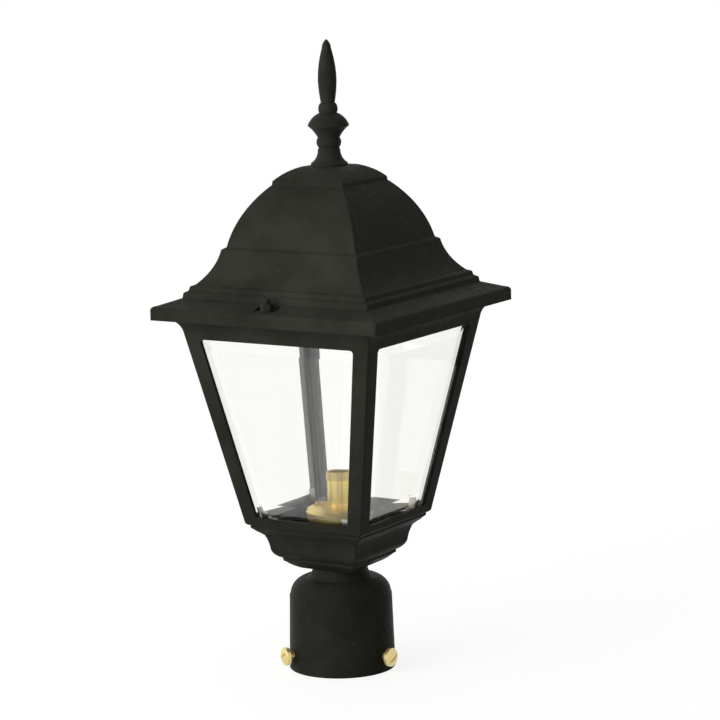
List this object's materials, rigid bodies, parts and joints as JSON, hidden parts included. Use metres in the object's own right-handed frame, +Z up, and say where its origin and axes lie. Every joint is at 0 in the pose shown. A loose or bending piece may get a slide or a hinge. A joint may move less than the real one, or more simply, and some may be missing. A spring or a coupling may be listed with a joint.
{
  "type": "post top lantern",
  "caption": "Square tapering post top lantern with bevelled glass panes, a domed roof with a spear finial, a brass lampholder and a round collar for a post.",
  "frame": {"origin": "centre of the collar's bottom rim", "axes": "+Z up along the post; -Y is the wide face in the picture, +X the face at its right"},
  "size_m": [0.207, 0.207, 0.5008],
  "materials": {
    "black_cast": "satin black paint on a cast surface with a fine grain",
    "clear_glass": "clear, polished, bevelled along every edge",
    "gold_brass": "bright lacquered brass",
    "zinc_steel": "plated fastener",
    "moulded_black": "dull moulded"
  },
  "bodies": {
    "base": {"roof_studs": "black_cast", "cage": "black_cast", "pane_front": "clear_glass", "pane_right": "clear_glass", "pane_back": "clear_glass", "pane_left": "clear_glass", "top_clips": "zinc_steel", "clip_screws": "zinc_steel", "bottom_clips": "zinc_steel", "cage_screws": "zinc_steel", "bowl": "black_cast", "nipple": "zinc_steel", "nipple_nuts": "zinc_steel", "nipple_washers": "zinc_steel", "lamp_cup": "gold_brass", "lamp_cover": "gold_brass", "cover_screws": "gold_brass", "lamp_sleeve": "gold_brass", "sleeve_ring": "gold_brass", "lamp_insulator": "moulded_black", "screw_shell": "gold_brass", "centre_contact": "gold_brass", "collar": "black_cast"},
    "roof": {"roof": "black_cast", "finial": "black_cast", "finial_stud": "zinc_steel", "finial_washer": "zinc_steel", "finial_nut": "zinc_steel", "roof_washers": "black_cast"},
    "nut_front": {"roof_nut_front": "black_cast"},
    "nut_back": {"roof_nut_back": "black_cast"},
    "screw_right": {"collar_screw_right": "gold_brass"},
    "screw_left": {"collar_screw_left": "gold_brass"},
    "screw_back": {"collar_screw_back": "gold_brass"}
  },
  "joints": [
    {"name": "roof_lift", "type": "slide", "parent": "base", "child": "roof", "axis": [0, 0, 1], "range_m": [0, 0.1]},
    {"name": "nut_front_off", "type": "slide", "parent": "roof", "child": "nut_front", "axis": [0, 0, 1], "range_m": [0, 0.0086]},
    {"name": "nut_back_off", "type": "slide", "parent": "roof", "child": "nut_back", "axis": [0, 0, 1], "range_m": [0, 0.0086]},
    {"name": "screw_right_out", "type": "slide", "parent": "base", "child": "screw_right", "axis": [0.9962, -0.0872, 0], "range_m": [-0.0038, 0.0034]},
    {"name": "screw_left_out", "type": "slide", "parent": "base", "child": "screw_left", "axis": [-0.5736, -0.8192, 0], "range_m": [-0.0038, 0.0034]},
    {"name": "screw_back_out", "type": "slide", "parent": "base", "child": "screw_back", "axis": [-0.4226, 0.9063, 0], "range_m": [-0.0038, 0.0034]}
  ]
}
